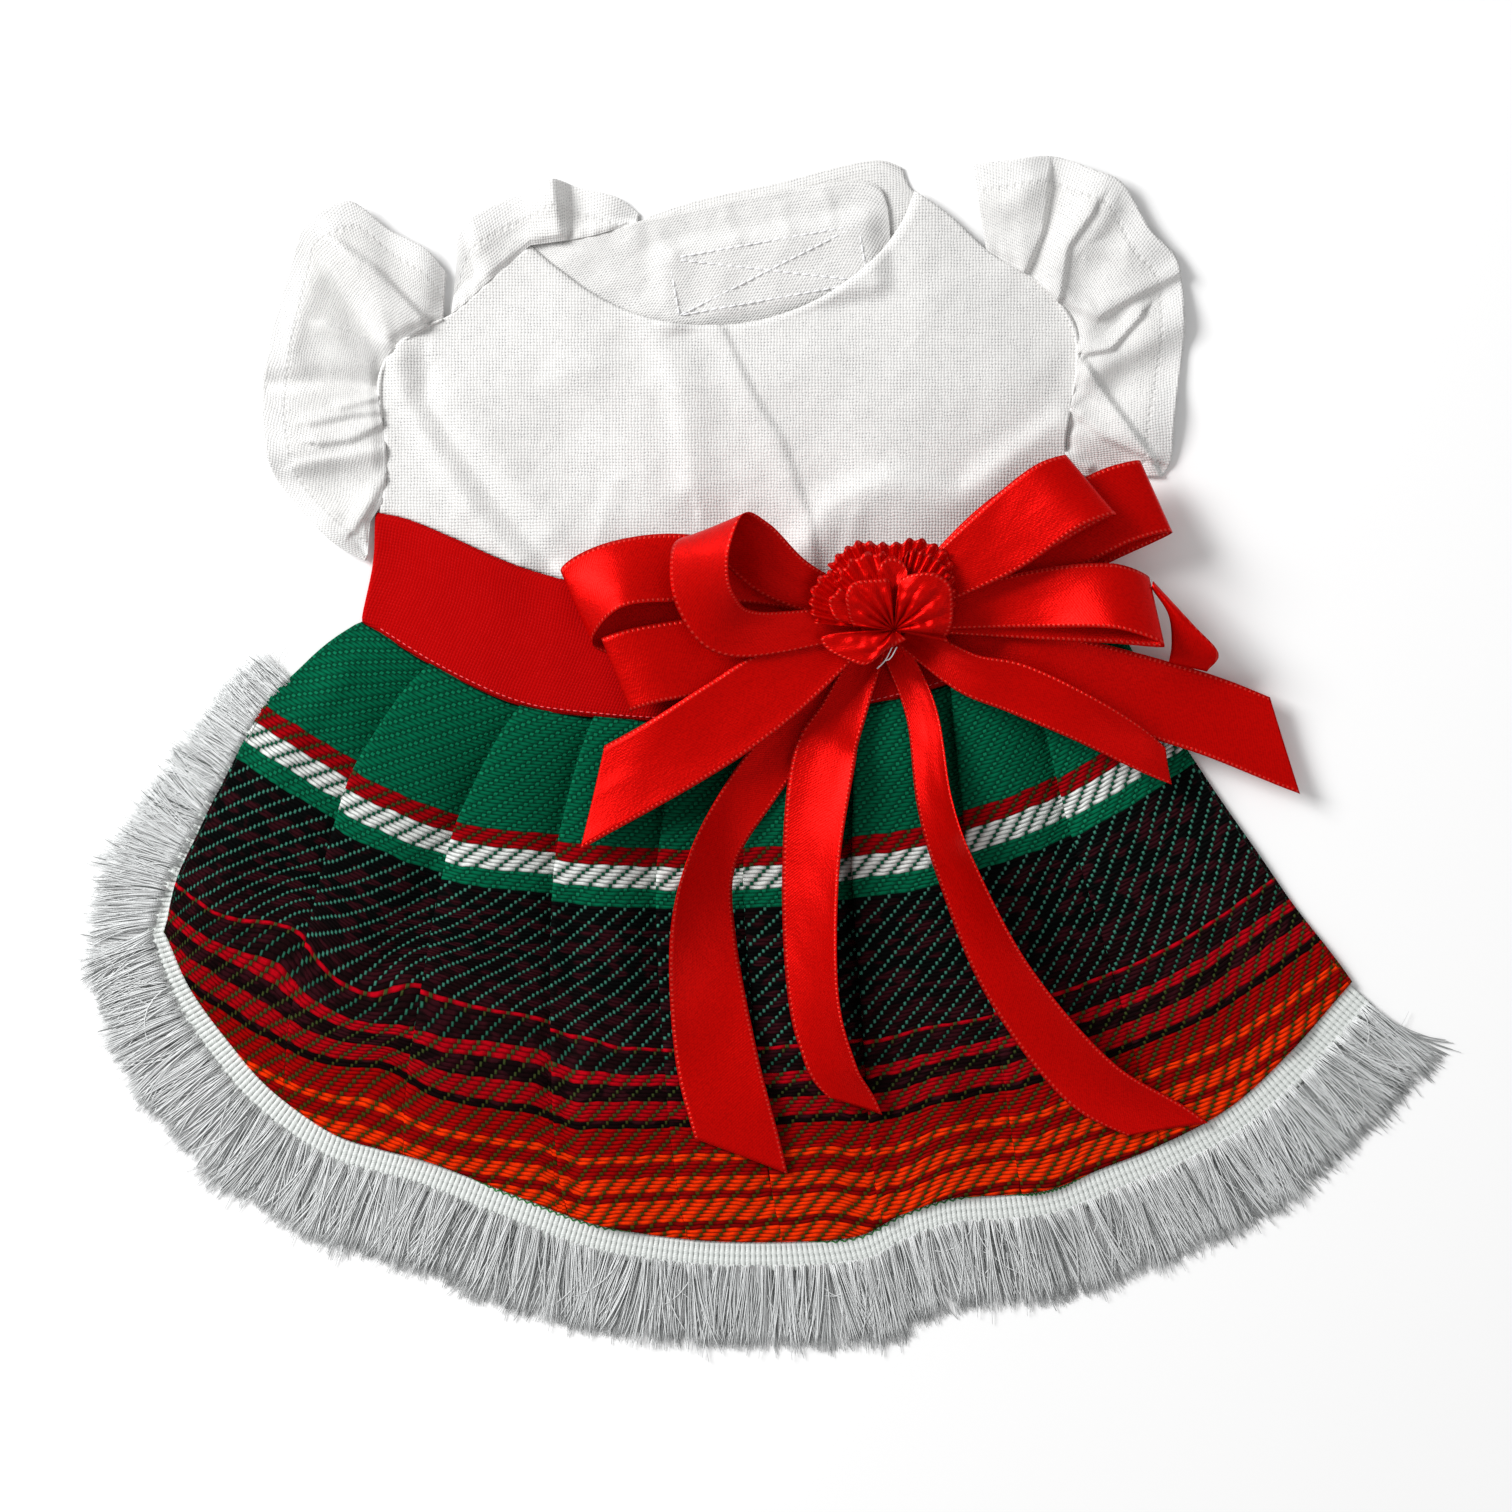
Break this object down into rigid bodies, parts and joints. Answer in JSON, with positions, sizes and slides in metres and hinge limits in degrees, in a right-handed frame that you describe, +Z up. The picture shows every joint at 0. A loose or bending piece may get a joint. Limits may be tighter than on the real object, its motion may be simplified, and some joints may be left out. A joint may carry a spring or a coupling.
{
  "type": "serape dress",
  "caption": "Pet dress laid flat: white cotton bodice with ruffle sleeves, red waistband, striped serape skirt with white fringe, and a red ribbon bow with a rosette.",
  "frame": {"origin": "centre of the dress in plan, on the surface that it lies on", "axes": "+X to the right of the dress as it lies, +Y towards the neck, +Z up from the surface"},
  "size_m": [0.4293, 0.3794, 0.0399],
  "materials": {
    "white_cotton": "plain woven cotton, matt",
    "red_cotton": "plain woven cotton, matt",
    "serape_cloth": "striped woven cloth, matt",
    "satin_ribbon": "satin ribbon, glossy",
    "fringe_rayon": "rayon thread, soft shine",
    "hook_loop": "woven tape"
  },
  "bodies": {
    "root": {"bodice_upper": "white_cotton", "bodice_under_left": "white_cotton", "bodice_under_right": "white_cotton", "closure_tape": "hook_loop", "ruffle_left": "white_cotton", "ruffle_left_back": "white_cotton", "ruffle_right": "white_cotton", "waistband": "red_cotton", "skirt": "serape_cloth", "fringe": "fringe_rayon", "bow_binding": "satin_ribbon", "loop_left_1": "satin_ribbon", "loop_left_2": "satin_ribbon", "loop_left_3": "satin_ribbon", "loop_right_1": "satin_ribbon", "loop_right_2": "satin_ribbon", "loop_right_3": "satin_ribbon", "tail_left_1": "satin_ribbon", "tail_left_2": "satin_ribbon", "tail_left_3": "satin_ribbon", "tail_right_4": "satin_ribbon", "tail_right_5": "satin_ribbon", "tail_right_6": "satin_ribbon", "rosette": "satin_ribbon"}
  },
  "joints": []
}
